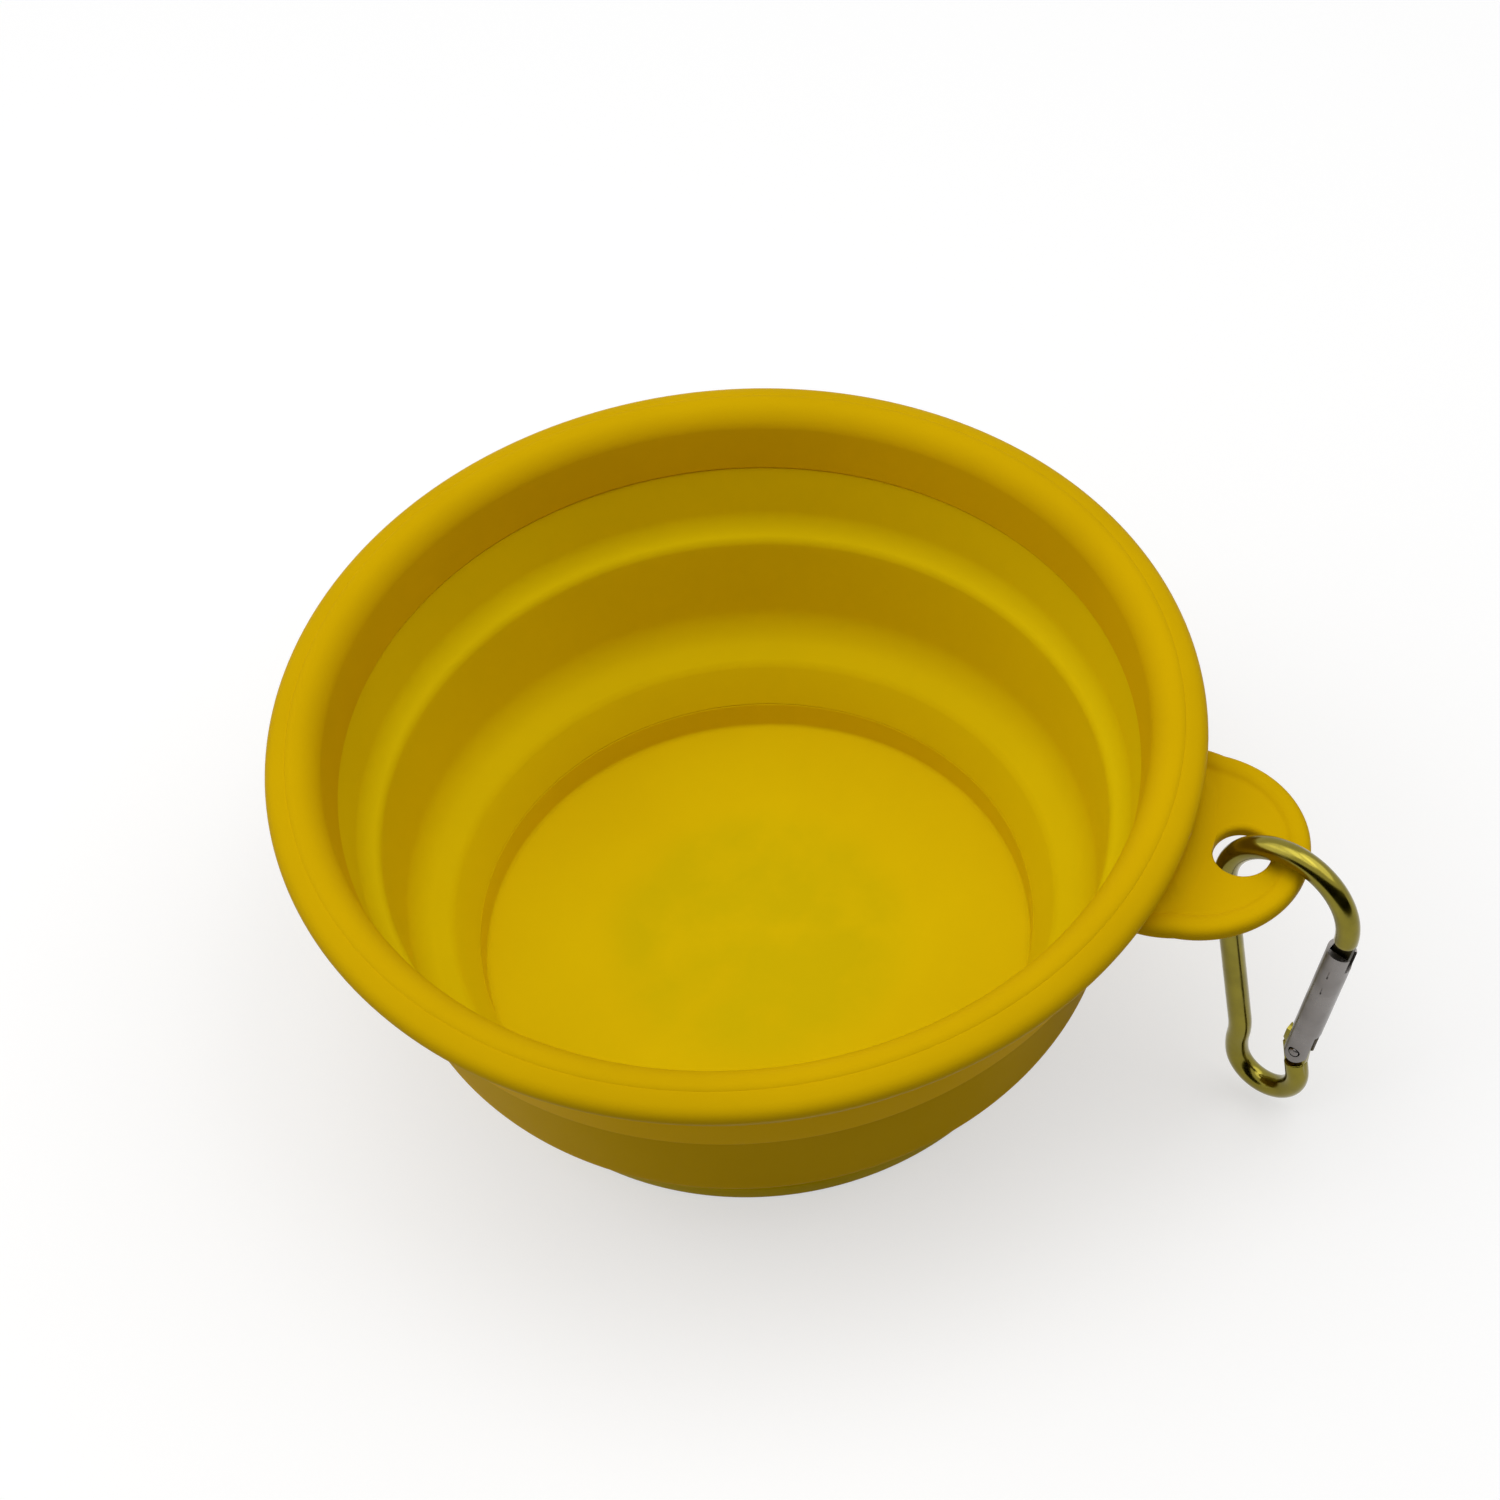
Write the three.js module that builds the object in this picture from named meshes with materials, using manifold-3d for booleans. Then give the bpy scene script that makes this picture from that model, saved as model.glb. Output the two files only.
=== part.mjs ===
// Collapsible pet bowl with a hang tab and a carabiner.
// Millimetres, +Z up. The origin is the middle of the underside, and the tab points along +X.
import * as THREE from 'three';
import { mergeVertices } from 'three/addons/utils/BufferGeometryUtils.js';
import Module from 'manifold-3d';

const wasm = await Module();
wasm.setup();

// Gap left between pieces that touch on the real bowl
const seatGap = 0.3;

// Base tray: floor, foot band and the upstand that carries the soft wall
const baseEdgeRound = 1;
const floorThickness = 2;
const footBandHeight = 3;
const upstandThickness = 1.6;
const upstandHeight = 6.7;

// Soft wall, from the base up: each ledge is the outward turn at the top of the wall below it
const softThickness = 1.8;
const skirtThickness = 1.6;
const lowerWallHeight = 5.9;
const lowerWallFlare = 3.25;
const lowerLedgeWidth = 5.5;
const lowerLedgeRise = 4.1;
const middleWallHeight = 16.1;
const middleWallFlare = 1.7;
const upperLedgeWidth = 2.55;
const upperLedgeRise = 3.4;
const upperWallHeight = 8.4;
const upperWallFlare = 1.1;
const wallOverlap = 2.2;

// Tongue of the soft wall in the groove under the rim
const tongueInset = 1.9;
const tongueThickness = 1;
const tongueHeight = 3;

// Rim, whose inner radius the whole bowl is drawn from
const rimInnerRadius = 56.2;
const rimWidth = 9;
const rimDepth = 10.1;
const rimInnerLean = 1.2;
const rimShoulder = 2.2;
const rimCrestInset = 4;
const rimCrownFall = 1.2;
const rimUndercut = 3.8;
const rimWidestDrop = 2.9;

// Hang tab
const tabInset = 0.2;
const tabRadius = 15.5;
const tabThickness = 2.4;
const tabLift = 0.15;
const tabEdgeRound = 0.8;
const tabRootWidth = 34;
const tabRootDepth = 5.2;
const holeRadius = 3.9;
const holeOffset = 6.5;
const holeEdge = 0.3;

// Carabiner rod, measured on its centre line
const rodDiameter = 3.3;
const bowRadius = 9.45;
const spineLength = 25.4;
const eyeRadius = 4.9;
const eyeBulge = 1.05;
const eyeDrop = 6.6;
const noseAngle = -18;
const noseLength = 0.2;
const armLength = 2.4;
const hingeRise = 3.6;
const hingeOffset = 1.1;

// How the carabiner hangs from the tab
const clipTurn = -20;
const clipLean = 6;
const clipTilt = 12.6;
const clipReach = 2.9;
const clipSideways = -2.5;

// Gate
const gateDiameter = 4.1;
const noseGap = 1.85;
const heelOverhang = 0.1;
const gateBoreDiameter = 2.6;
const gateStopThickness = 1.6;
const bladeThickness = 1.4;
const tongueReach = 2.5;
const tongueInnerWidth = 1.1;
const tongueOuterWidth = 1.5;
const lugHeelWidth = 1.4;
const lugCamWidth = 2.5;
const lugCamHeight = 2.1;
const neckInnerWidth = 2.5;

// Rivet, plunger and spring in the gate
const rivetDiameter = 1.4;
const rivetClearance = 0.15;
const rivetStandOut = 0.25;
const plungerDiameter = 1.9;
const plungerLength = 4.2;
const spigotDiameter = 0.8;
const spigotLength = 1.4;
const springWire = 0.36;
const springDiameter = 1.7;
const springTurns = 9;

// Facets
const ringSides = 64;
const curveSteps = 3;
const rodSides = 10;
const rodSteps = 60;
const pinSides = 16;
const tabSides = 40;
const springSides = 6;
const springStepsPerTurn = 8;
const weldDistance = 1e-4;

// Heights that follow from the sizes above
const lowerWallTop = upstandHeight + seatGap + lowerWallHeight;
const middleWallFoot = lowerWallTop + lowerLedgeRise;
const middleWallTop = middleWallFoot + middleWallHeight;
const upperWallFoot = middleWallTop + upperLedgeRise;
const rimFoot = upperWallFoot + upperWallHeight;
const bowlHeight = rimFoot + rimDepth;
const tabBottom = rimFoot + tabLift;
const tabTop = tabBottom + tabThickness;

// Radii of the inner faces, from the rim inward
const upperInnerTop = rimInnerRadius;
const upperInnerFoot = upperInnerTop - upperWallFlare;
const upperLedgeRim = upperInnerFoot - seatGap;
const middleInnerTop = upperLedgeRim - upperLedgeWidth;
const middleInnerFoot = middleInnerTop - middleWallFlare;
const lowerLedgeRim = middleInnerFoot - seatGap;
const lowerInnerTop = lowerLedgeRim - lowerLedgeWidth;
const upstandRadius = lowerInnerTop - lowerWallFlare;
const skirtInner = upstandRadius + upstandThickness + seatGap;
const baseRadius = skirtInner + skirtThickness;

// Radii of the rim and places of the tab, outward
const rimOuterRadius = rimInnerRadius + rimWidth;
const tongueRadius = rimInnerRadius + tongueInset;
const tabCentre = rimOuterRadius - tabInset;
const tabRootRadius = rimOuterRadius - tabRootDepth;
const holeCentre = tabCentre + holeOffset;

const degrees = Math.PI / 180;
const rodRadius = rodDiameter / 2;

const bowl = new THREE.Group();

const rimPlastic = new THREE.MeshStandardMaterial({ color: 0xdba400, roughness: 0.45, metalness: 0 });
const softYellow = new THREE.MeshStandardMaterial({ color: 0xd2a800, roughness: 0.55, metalness: 0 });
const basePlastic = new THREE.MeshStandardMaterial({ color: 0xdcae00, roughness: 0.5, metalness: 0 });
const goldAnodised = new THREE.MeshStandardMaterial({ color: 0x8f8440, roughness: 0.3, metalness: 1 });
const bareMetal = new THREE.MeshStandardMaterial({ color: 0xa9a29c, roughness: 0.35, metalness: 1 });

// Adds a named piece to a group.
function addPiece(parent, name, geometry, material) {
  const mesh = new THREE.Mesh(geometry, material);
  mesh.name = name;
  parent.add(mesh);
}

// Turns an outline in radius and height about the bowl's axis.
function turned(outline) {
  const geometry = new THREE.LatheGeometry(outline.getPoints(curveSteps), ringSides);
  geometry.rotateX(Math.PI / 2);
  return geometry;
}

// Makes a closed solid that can be joined or cut.
function toSolid(geometry) {
  const bare = new THREE.BufferGeometry();
  bare.setAttribute('position', geometry.getAttribute('position'));
  bare.setIndex(geometry.getIndex());
  const welded = mergeVertices(bare, weldDistance);
  return new wasm.Manifold(new wasm.Mesh({
    numProp: 3,
    vertProperties: new Float32Array(welded.getAttribute('position').array),
    triVerts: new Uint32Array(welded.getIndex().array),
  }));
}

function toGeometry(solid) {
  const mesh = solid.getMesh();
  const geometry = new THREE.BufferGeometry();
  geometry.setAttribute('position', new THREE.BufferAttribute(mesh.vertProperties, 3));
  geometry.setIndex(new THREE.BufferAttribute(mesh.triVerts, 1));
  geometry.computeVertexNormals();
  return geometry;
}

// Round pin along Y between two heights.
function pin(diameter, low, high) {
  const geometry = new THREE.CylinderGeometry(diameter / 2, diameter / 2, high - low, pinSides);
  geometry.translate(0, (low + high) / 2, 0);
  return geometry;
}

// Block between two corners.
function block(low, high) {
  const geometry = new THREE.BoxGeometry(high.x - low.x, high.y - low.y, high.z - low.z);
  const middle = low.clone().add(high).multiplyScalar(0.5);
  geometry.translate(middle.x, middle.y, middle.z);
  return geometry;
}

// Flat blade from an outline, centred on the XY plane.
function blade(points, thickness) {
  const shape = new THREE.Shape(points.map(([x, y]) => new THREE.Vector2(x, y)));
  const geometry = new THREE.ExtrudeGeometry(shape, { depth: thickness, bevelEnabled: false });
  geometry.translate(0, 0, -thickness / 2);
  return geometry;
}

// A flat path in the XY plane as a curve in space.
class FlatPath extends THREE.Curve {
  constructor(path) {
    super();
    this.path = path;
  }

  getPoint(t, target = new THREE.Vector3()) {
    const point = this.path.getPoint(t);
    return target.set(point.x, point.y, 0);
  }
}

// A coil that climbs along Y.
class CoilPath extends THREE.Curve {
  constructor(radius, low, high, turns) {
    super();
    this.radius = radius;
    this.low = low;
    this.high = high;
    this.turns = turns;
  }

  getPoint(t, target = new THREE.Vector3()) {
    const angle = t * this.turns * 2 * Math.PI;
    const height = this.low + (this.high - this.low) * t;
    return target.set(this.radius * Math.cos(angle), height, this.radius * Math.sin(angle));
  }
}

function roundBar(path, diameter, sides, steps) {
  const section = new THREE.Shape();
  section.absarc(0, 0, diameter / 2, 0, 2 * Math.PI, false);
  return new THREE.ExtrudeGeometry(section, { steps, curveSegments: sides / 2, extrudePath: path });
}

// Base tray: flat floor, foot band and upstand
function baseTray() {
  const outline = new THREE.Path();
  const upstandOuter = upstandRadius + upstandThickness;
  outline.moveTo(0, 0);
  outline.lineTo(baseRadius - baseEdgeRound, 0);
  outline.quadraticCurveTo(baseRadius, 0, baseRadius, baseEdgeRound);
  outline.lineTo(baseRadius, footBandHeight);
  outline.lineTo(upstandOuter, footBandHeight);
  outline.lineTo(upstandOuter, upstandHeight);
  outline.lineTo(upstandRadius, upstandHeight);
  outline.lineTo(upstandRadius, floorThickness);
  outline.lineTo(0, floorThickness);
  return turned(outline);
}

// Lower wall: skirt round the upstand, short wall and the lower ledge
function lowerWall() {
  const outline = new THREE.Path();
  const skirtFoot = footBandHeight + seatGap;
  const wallFoot = upstandHeight + seatGap;
  const ledgeFoot = middleWallFoot - softThickness;
  const wallOuterTop = lowerInnerTop + softThickness;
  const ledgeBend = lowerLedgeRim - softThickness;
  outline.moveTo(skirtInner, skirtFoot);
  outline.lineTo(baseRadius, skirtFoot);
  outline.lineTo(wallOuterTop, lowerWallTop - softThickness);
  outline.quadraticCurveTo(ledgeBend, lowerWallTop, lowerLedgeRim, ledgeFoot);
  outline.lineTo(lowerLedgeRim, middleWallFoot);
  outline.quadraticCurveTo(ledgeBend, lowerWallTop + softThickness, lowerInnerTop, lowerWallTop);
  outline.lineTo(upstandRadius, wallFoot);
  outline.lineTo(skirtInner, wallFoot);
  outline.lineTo(skirtInner, skirtFoot);
  return turned(outline);
}

// Middle wall: steep band that turns over when the bowl is folded, with the upper ledge at its top
function middleWall() {
  const outline = new THREE.Path();
  const foot = middleWallFoot - softThickness;
  const ledgeFoot = upperWallFoot - wallOverlap;
  outline.moveTo(middleInnerFoot, foot);
  outline.lineTo(middleInnerFoot + softThickness, foot);
  outline.lineTo(middleInnerTop + softThickness, middleWallTop - softThickness);
  outline.lineTo(upperLedgeRim, ledgeFoot);
  outline.lineTo(upperLedgeRim, upperWallFoot);
  outline.quadraticCurveTo(upperLedgeRim, middleWallTop + softThickness / 2, middleInnerTop, middleWallTop);
  outline.lineTo(middleInnerFoot, middleWallFoot);
  outline.lineTo(middleInnerFoot, foot);
  return turned(outline);
}

// Upper wall: steep band below the rim, with its tongue in the rim's groove
function upperWall() {
  const outline = new THREE.Path();
  const foot = upperWallFoot - wallOverlap;
  const top = rimFoot - seatGap;
  const tongueInner = tongueRadius - tongueThickness / 2;
  const tongueOuter = tongueRadius + tongueThickness / 2;
  const tongueTop = rimFoot + tongueHeight;
  outline.moveTo(upperInnerFoot, foot);
  outline.lineTo(upperInnerFoot + softThickness, foot);
  outline.lineTo(tongueOuter, top);
  outline.lineTo(tongueOuter, tongueTop);
  outline.lineTo(tongueInner, tongueTop);
  outline.lineTo(tongueInner, top);
  outline.lineTo(upperInnerTop, top);
  outline.lineTo(upperInnerFoot, upperWallFoot);
  outline.lineTo(upperInnerFoot, foot);
  return turned(outline);
}

// Rim section: rounded crown, leaning outer face, and the groove for the wall's tongue
function rimSection() {
  const outline = new THREE.Path();
  const grooveInner = tongueRadius - tongueThickness / 2 - seatGap;
  const grooveOuter = tongueRadius + tongueThickness / 2 + seatGap;
  const grooveTop = rimFoot + tongueHeight + seatGap;
  const widest = bowlHeight - rimWidestDrop;
  const rimCrest = rimOuterRadius - rimCrestInset;
  const shoulderInner = rimInnerRadius + rimInnerLean;
  const shoulderTop = bowlHeight - rimShoulder / 3;
  outline.moveTo(grooveOuter, rimFoot);
  outline.lineTo(rimOuterRadius - rimUndercut, rimFoot);
  outline.quadraticCurveTo(rimOuterRadius, widest - rimWidestDrop / 2, rimOuterRadius, widest);
  outline.quadraticCurveTo(rimOuterRadius - rimCrownFall / 2, bowlHeight - rimCrownFall, rimCrest, bowlHeight);
  outline.lineTo(shoulderInner + rimShoulder, bowlHeight - rimShoulder / 6);
  outline.quadraticCurveTo(shoulderInner, shoulderTop, shoulderInner, bowlHeight - 2 * rimShoulder);
  outline.lineTo(rimInnerRadius, rimFoot);
  outline.lineTo(grooveInner, rimFoot);
  outline.lineTo(grooveInner, grooveTop);
  outline.lineTo(grooveOuter, grooveTop);
  outline.lineTo(grooveOuter, rimFoot);
  return turned(outline);
}

// Round hang tab with its hole and rounded edges, and the web that spreads its root along the rim
function hangTab() {
  const disc = new THREE.Shape();
  disc.absarc(tabCentre, 0, tabRadius, 0, 2 * Math.PI, false);
  const plate = new THREE.ExtrudeGeometry(disc, {
    depth: tabThickness - 2 * tabEdgeRound,
    curveSegments: tabSides / 2,
    bevelThickness: tabEdgeRound,
    bevelSize: tabEdgeRound,
    bevelOffset: -tabEdgeRound,
    bevelSegments: 2,
  });
  plate.translate(0, 0, tabBottom + tabEdgeRound);
  const rootY = tabRootWidth / 2;
  const rootX = Math.sqrt(tabRootRadius ** 2 - rootY ** 2);
  const web = blade([
    [rootX, -rootY],
    [tabCentre, -tabRadius + tabEdgeRound],
    [tabCentre, tabRadius - tabEdgeRound],
    [rootX, rootY],
  ], tabThickness - tabEdgeRound);
  web.translate(0, 0, tabBottom + tabThickness / 2);
  const bowlSpace = new THREE.CylinderGeometry(tabRootRadius, tabRootRadius, bowlHeight, ringSides);
  bowlSpace.rotateX(Math.PI / 2);
  bowlSpace.translate(0, 0, tabBottom);
  return toSolid(plate).add(toSolid(web)).subtract(toSolid(bowlSpace)).subtract(tabHole());
}

// Space of the tab's hole, widened at both faces where its edges are broken
function tabHole() {
  const upright = (low, high, lowRadius, highRadius) => {
    const geometry = new THREE.CylinderGeometry(highRadius, lowRadius, high - low, tabSides);
    geometry.rotateX(Math.PI / 2);
    geometry.translate(holeCentre, 0, (low + high) / 2);
    return toSolid(geometry);
  };
  const wide = holeRadius + 2 * holeEdge;
  return upright(tabBottom - tabThickness, tabTop + tabThickness, holeRadius, holeRadius)
    .add(upright(tabTop - holeEdge, tabTop + holeEdge, holeRadius, wide))
    .add(upright(tabBottom - holeEdge, tabBottom + holeEdge, wide, holeRadius));
}

const rim = toSolid(rimSection()).add(hangTab());
addPiece(bowl, 'rim_ring', toGeometry(rim), rimPlastic);
addPiece(bowl, 'upper_wall', upperWall(), softYellow);
addPiece(bowl, 'middle_wall', middleWall(), softYellow);
addPiece(bowl, 'lower_wall', lowerWall(), softYellow);
addPiece(bowl, 'base_tray', baseTray(), basePlastic);

// Carabiner frame: X across, Y up its spine, the origin at the middle of the bow that hangs in the tab.
// It is turned about the vertical, leans to one side and hangs with its spine tilted.
// The bow hangs over the edge of the tab's hole.
const clipX = holeCentre + holeRadius + clipReach;
const bowInner = bowRadius - rodRadius - seatGap;
const clipDrop = Math.sqrt(bowInner ** 2 - (clipReach / Math.cos(clipTurn * degrees)) ** 2);
const clipPlace = new THREE.Group();
clipPlace.position.set(clipX, clipSideways, tabTop - clipDrop * Math.cos(clipLean * degrees));
clipPlace.rotation.z = clipTurn * degrees;
const clipStand = new THREE.Group();
clipStand.rotation.x = Math.PI / 2 - clipLean * degrees;
const clip = new THREE.Group();
clip.rotation.z = clipTilt * degrees;
bowl.add(clipPlace);
clipPlace.add(clipStand);
clipStand.add(clip);

// Points of the rod that other pieces take their place from
const eyeCentre = new THREE.Vector2(eyeRadius - bowRadius - eyeBulge, -spineLength - eyeDrop);
const armEnd = new THREE.Vector2(eyeCentre.x + eyeRadius, eyeCentre.y + armLength);
const hinge = new THREE.Vector2(armEnd.x + hingeOffset, armEnd.y + hingeRise);
const bowEnd = new THREE.Vector2(bowRadius, 0).rotateAround(new THREE.Vector2(), noseAngle * degrees);
const noseWay = new THREE.Vector2(Math.sin(noseAngle * degrees), -Math.cos(noseAngle * degrees));
const nose = bowEnd.clone().addScaledVector(noseWay, noseLength);
const hingeToNose = hinge.distanceTo(nose);
const gateTilt = Math.atan2(nose.x - hinge.x, nose.y - hinge.y);
const gateLength = hingeToNose - noseGap;
const gateSlotHeight = Math.hypot(lugCamWidth, lugCamHeight) + 2 * seatGap;
const boreTop = gateLength - tongueReach - gateStopThickness - seatGap;

// Places a geometry that is drawn in the gate's frame, hinge at the origin and Y along the gate.
function fromGate(geometry) {
  geometry.rotateZ(-gateTilt);
  geometry.translate(hinge.x, hinge.y, 0);
  return geometry;
}

// Pin across the gate, along Z, through the hinge.
function crossPin(diameter, length) {
  const geometry = pin(diameter, -length / 2, length / 2);
  geometry.rotateX(Math.PI / 2);
  return geometry;
}

function carabinerBody() {
  const line = new THREE.Path();
  line.moveTo(nose.x, nose.y);
  line.lineTo(bowEnd.x, bowEnd.y);
  line.absarc(0, 0, bowRadius, noseAngle * degrees, Math.PI, false);
  line.lineTo(-bowRadius, -spineLength);
  const kinkTop = -spineLength - eyeDrop / 2;
  line.bezierCurveTo(-bowRadius, kinkTop, -bowRadius - eyeBulge, kinkTop, -bowRadius - eyeBulge, eyeCentre.y);
  line.absarc(eyeCentre.x, eyeCentre.y, eyeRadius, Math.PI, 2 * Math.PI, false);
  line.lineTo(armEnd.x, armEnd.y);
  const rod = toSolid(roundBar(new FlatPath(line), rodDiameter, rodSides, rodSteps));

  // Tongue at the nose, which the gate closes over
  const tongueTip = gateLength - tongueReach;
  const tongueRoot = hingeToNose + rodRadius / 2;
  const tongue = blade([
    [-tongueInnerWidth, tongueTip],
    [tongueOuterWidth, tongueTip],
    [tongueOuterWidth, tongueRoot],
    [-tongueInnerWidth, tongueRoot],
  ], bladeThickness);

  // Lug at the hinge, with the raised cam that pushes the plunger
  const lug = blade([
    [-lugCamWidth, 0],
    [-lugHeelWidth, -lugHeelWidth],
    [lugHeelWidth, -lugHeelWidth],
    [lugHeelWidth, lugHeelWidth],
    [-lugCamWidth, lugCamHeight],
  ], bladeThickness);

  // Neck that leans from the rod's end to the lug
  const neckRoot = armEnd.y - rodRadius / 2;
  const neck = blade([
    [armEnd.x - lugHeelWidth, neckRoot],
    [armEnd.x + lugHeelWidth, neckRoot],
    [hinge.x + lugHeelWidth, hinge.y],
    [hinge.x - neckInnerWidth, hinge.y],
  ], bladeThickness);
  const bore = crossPin(rivetDiameter + 2 * rivetClearance, gateDiameter);
  return rod
    .add(toSolid(fromGate(tongue)))
    .add(toSolid(fromGate(lug)))
    .add(toSolid(neck))
    .subtract(toSolid(fromGate(bore)));
}

function carabinerGate() {
  const slotSide = bladeThickness / 2 + seatGap;
  const slot = block(
    new THREE.Vector3(-gateDiameter, -gateDiameter, -slotSide),
    new THREE.Vector3(gateDiameter, gateSlotHeight, slotSide),
  );
  const pocket = block(
    new THREE.Vector3(-tongueInnerWidth - seatGap, gateLength - tongueReach - seatGap, -slotSide),
    new THREE.Vector3(gateDiameter, gateLength + seatGap, slotSide),
  );
  const aboveHinge = block(
    new THREE.Vector3(-gateDiameter, 0, -gateDiameter),
    new THREE.Vector3(gateDiameter, gateLength + gateDiameter, gateDiameter),
  );
  const heelRadius = gateDiameter / 2 + heelOverhang;
  const roundHeel = toSolid(crossPin(2 * heelRadius, 2 * gateDiameter)).add(toSolid(aboveHinge));
  return toSolid(pin(gateDiameter, -heelRadius, gateLength))
    .intersect(roundHeel)
    .subtract(toSolid(slot))
    .subtract(toSolid(pocket))
    .subtract(toSolid(pin(gateBoreDiameter, 0, boreTop)))
    .subtract(toSolid(crossPin(rivetDiameter + 2 * rivetClearance, 2 * gateDiameter)));
}

// Height of the lug's cam edge under the side of the plunger
const camSlope = (lugCamHeight - lugHeelWidth) / (lugCamWidth + lugHeelWidth);
const camUnderPlunger = lugCamHeight - (lugCamWidth - plungerDiameter / 2) * camSlope;
const plungerFoot = camUnderPlunger + seatGap;
const plungerTop = plungerFoot + plungerLength;
const springFoot = plungerTop + seatGap + springWire / 2;
const springTop = boreTop - seatGap - springWire / 2;

function gatePlunger() {
  const outline = [
    new THREE.Vector2(0, plungerFoot),
    new THREE.Vector2(plungerDiameter / 2, plungerFoot),
    new THREE.Vector2(plungerDiameter / 2, plungerTop),
    new THREE.Vector2(spigotDiameter / 2, plungerTop),
    new THREE.Vector2(spigotDiameter / 2, plungerTop + spigotLength),
    new THREE.Vector2(0, plungerTop + spigotLength),
  ];
  return new THREE.LatheGeometry(outline, pinSides);
}

function gateSpring() {
  const radius = springDiameter / 2;
  const coil = new CoilPath(radius, springFoot, springTop, springTurns);
  const steps = springTurns * springStepsPerTurn;
  const points = coil.getPoints(steps);
  let least = Infinity;
  points.forEach((point, i) => {
    points.slice(i + springStepsPerTurn / 2).forEach((other) => {
      least = Math.min(least, point.distanceTo(other) - springWire);
    });
  });
  console.log(`gate_spring least gap to itself ${least.toFixed(3)} mm`);
  return roundBar(coil, springWire, springSides, steps);
}

addPiece(clip, 'carabiner_body', toGeometry(carabinerBody()), goldAnodised);
addPiece(clip, 'gate_rivet', fromGate(crossPin(rivetDiameter, gateDiameter + 2 * rivetStandOut)), bareMetal);
addPiece(clip, 'carabiner_gate', fromGate(toGeometry(carabinerGate())), bareMetal);
addPiece(clip, 'gate_plunger', fromGate(gatePlunger()), bareMetal);
addPiece(clip, 'gate_spring', fromGate(gateSpring()), bareMetal);

export default bowl;
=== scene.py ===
from math import atan2, cos, degrees, hypot, pi, radians, sin

import bmesh
import bpy
from mathutils import Matrix, Quaternion, Vector


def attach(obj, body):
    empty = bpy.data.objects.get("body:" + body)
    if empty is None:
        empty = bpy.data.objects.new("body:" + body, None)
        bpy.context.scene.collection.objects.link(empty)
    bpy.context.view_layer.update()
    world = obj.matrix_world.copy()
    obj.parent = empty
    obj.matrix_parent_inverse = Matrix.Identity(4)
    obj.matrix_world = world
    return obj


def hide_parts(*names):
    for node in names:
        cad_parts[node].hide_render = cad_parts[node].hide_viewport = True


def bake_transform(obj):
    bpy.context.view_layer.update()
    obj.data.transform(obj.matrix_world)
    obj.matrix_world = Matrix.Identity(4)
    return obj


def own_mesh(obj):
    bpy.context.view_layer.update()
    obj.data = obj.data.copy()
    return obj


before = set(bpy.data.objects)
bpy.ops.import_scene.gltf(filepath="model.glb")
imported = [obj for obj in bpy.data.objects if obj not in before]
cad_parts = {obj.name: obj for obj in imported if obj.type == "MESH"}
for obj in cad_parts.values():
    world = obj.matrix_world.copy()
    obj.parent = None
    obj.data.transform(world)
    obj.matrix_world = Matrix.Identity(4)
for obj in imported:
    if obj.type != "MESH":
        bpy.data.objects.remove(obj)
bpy.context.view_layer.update()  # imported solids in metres, +Z up, the tab along +X
print("frame loaded:", len(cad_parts), "solids")

mm = 0.001
tiny = 1e-6  # metres, within which two places count as one
cutReach = 4  # mm, how far a cutting bar or box goes past the rod it cuts


# Camera at the photograph's viewing angle
cameraLook = {
    "place": (0.10467187, -0.24539977, 0.37014341),
    "aim": (0.00301407, -0.002215, 0.04974947),
    "roll": -6.2418,
    "lens": 72,
    "sensor": 36,
    "clip": (0.01, 20),
}


def addCamera(look):
    bpy.ops.object.select_all(action="DESELECT")
    place, aim = Vector(look["place"]), Vector(look["aim"])
    bpy.ops.object.camera_add(location=place)
    camera = bpy.context.object
    camera.name = "viewCamera"
    camera.rotation_mode = "QUATERNION"
    upright = (aim - place).to_track_quat("-Z", "Y")
    camera.rotation_quaternion = upright @ Quaternion((0, 0, 1), radians(look["roll"]))
    camera.data.lens = look["lens"]
    camera.data.sensor_width = look["sensor"]
    camera.data.clip_start, camera.data.clip_end = look["clip"]
    bpy.context.scene.camera = camera


addCamera(cameraLook)
print("camera placed")


# Small tools that the pieces share

def only(piece):
    if bpy.context.object and bpy.context.object.mode != "OBJECT":
        bpy.ops.object.mode_set(mode="OBJECT")
    bpy.ops.object.select_all(action="DESELECT")
    piece.select_set(True)
    bpy.context.view_layer.objects.active = piece


def edit(piece):
    only(piece)
    bpy.ops.object.mode_set(mode="EDIT")


def done():
    bpy.ops.object.mode_set(mode="OBJECT")


def pickPoints(test):
    bpy.ops.mesh.select_mode(type="VERT")
    bpy.ops.mesh.select_all(action="DESELECT")
    cage = bmesh.from_edit_mesh(bpy.context.object.data)
    for point in cage.verts:
        point.select_set(bool(test(point.co)))
    cage.select_flush(True)
    bmesh.update_edit_mesh(bpy.context.object.data)


def pickEdges(test):
    bpy.ops.mesh.select_mode(type="EDGE")
    bpy.ops.mesh.select_all(action="DESELECT")
    cage = bmesh.from_edit_mesh(bpy.context.object.data)
    for edge in cage.edges:
        if test(edge):
            edge.select_set(True)
    bmesh.update_edit_mesh(bpy.context.object.data)


def pickFaces(test):
    bpy.ops.mesh.select_mode(type="FACE")
    bpy.ops.mesh.select_all(action="DESELECT")
    cage = bmesh.from_edit_mesh(bpy.context.object.data)
    for face in cage.faces:
        if test(face):
            face.select_set(True)
    bmesh.update_edit_mesh(bpy.context.object.data)


def isOpen(edge):
    return len(edge.link_faces) == 1


def near(place, reach=0.02):
    spot = Vector(place) * mm
    return lambda co: (co - spot).length < reach * mm


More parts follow.
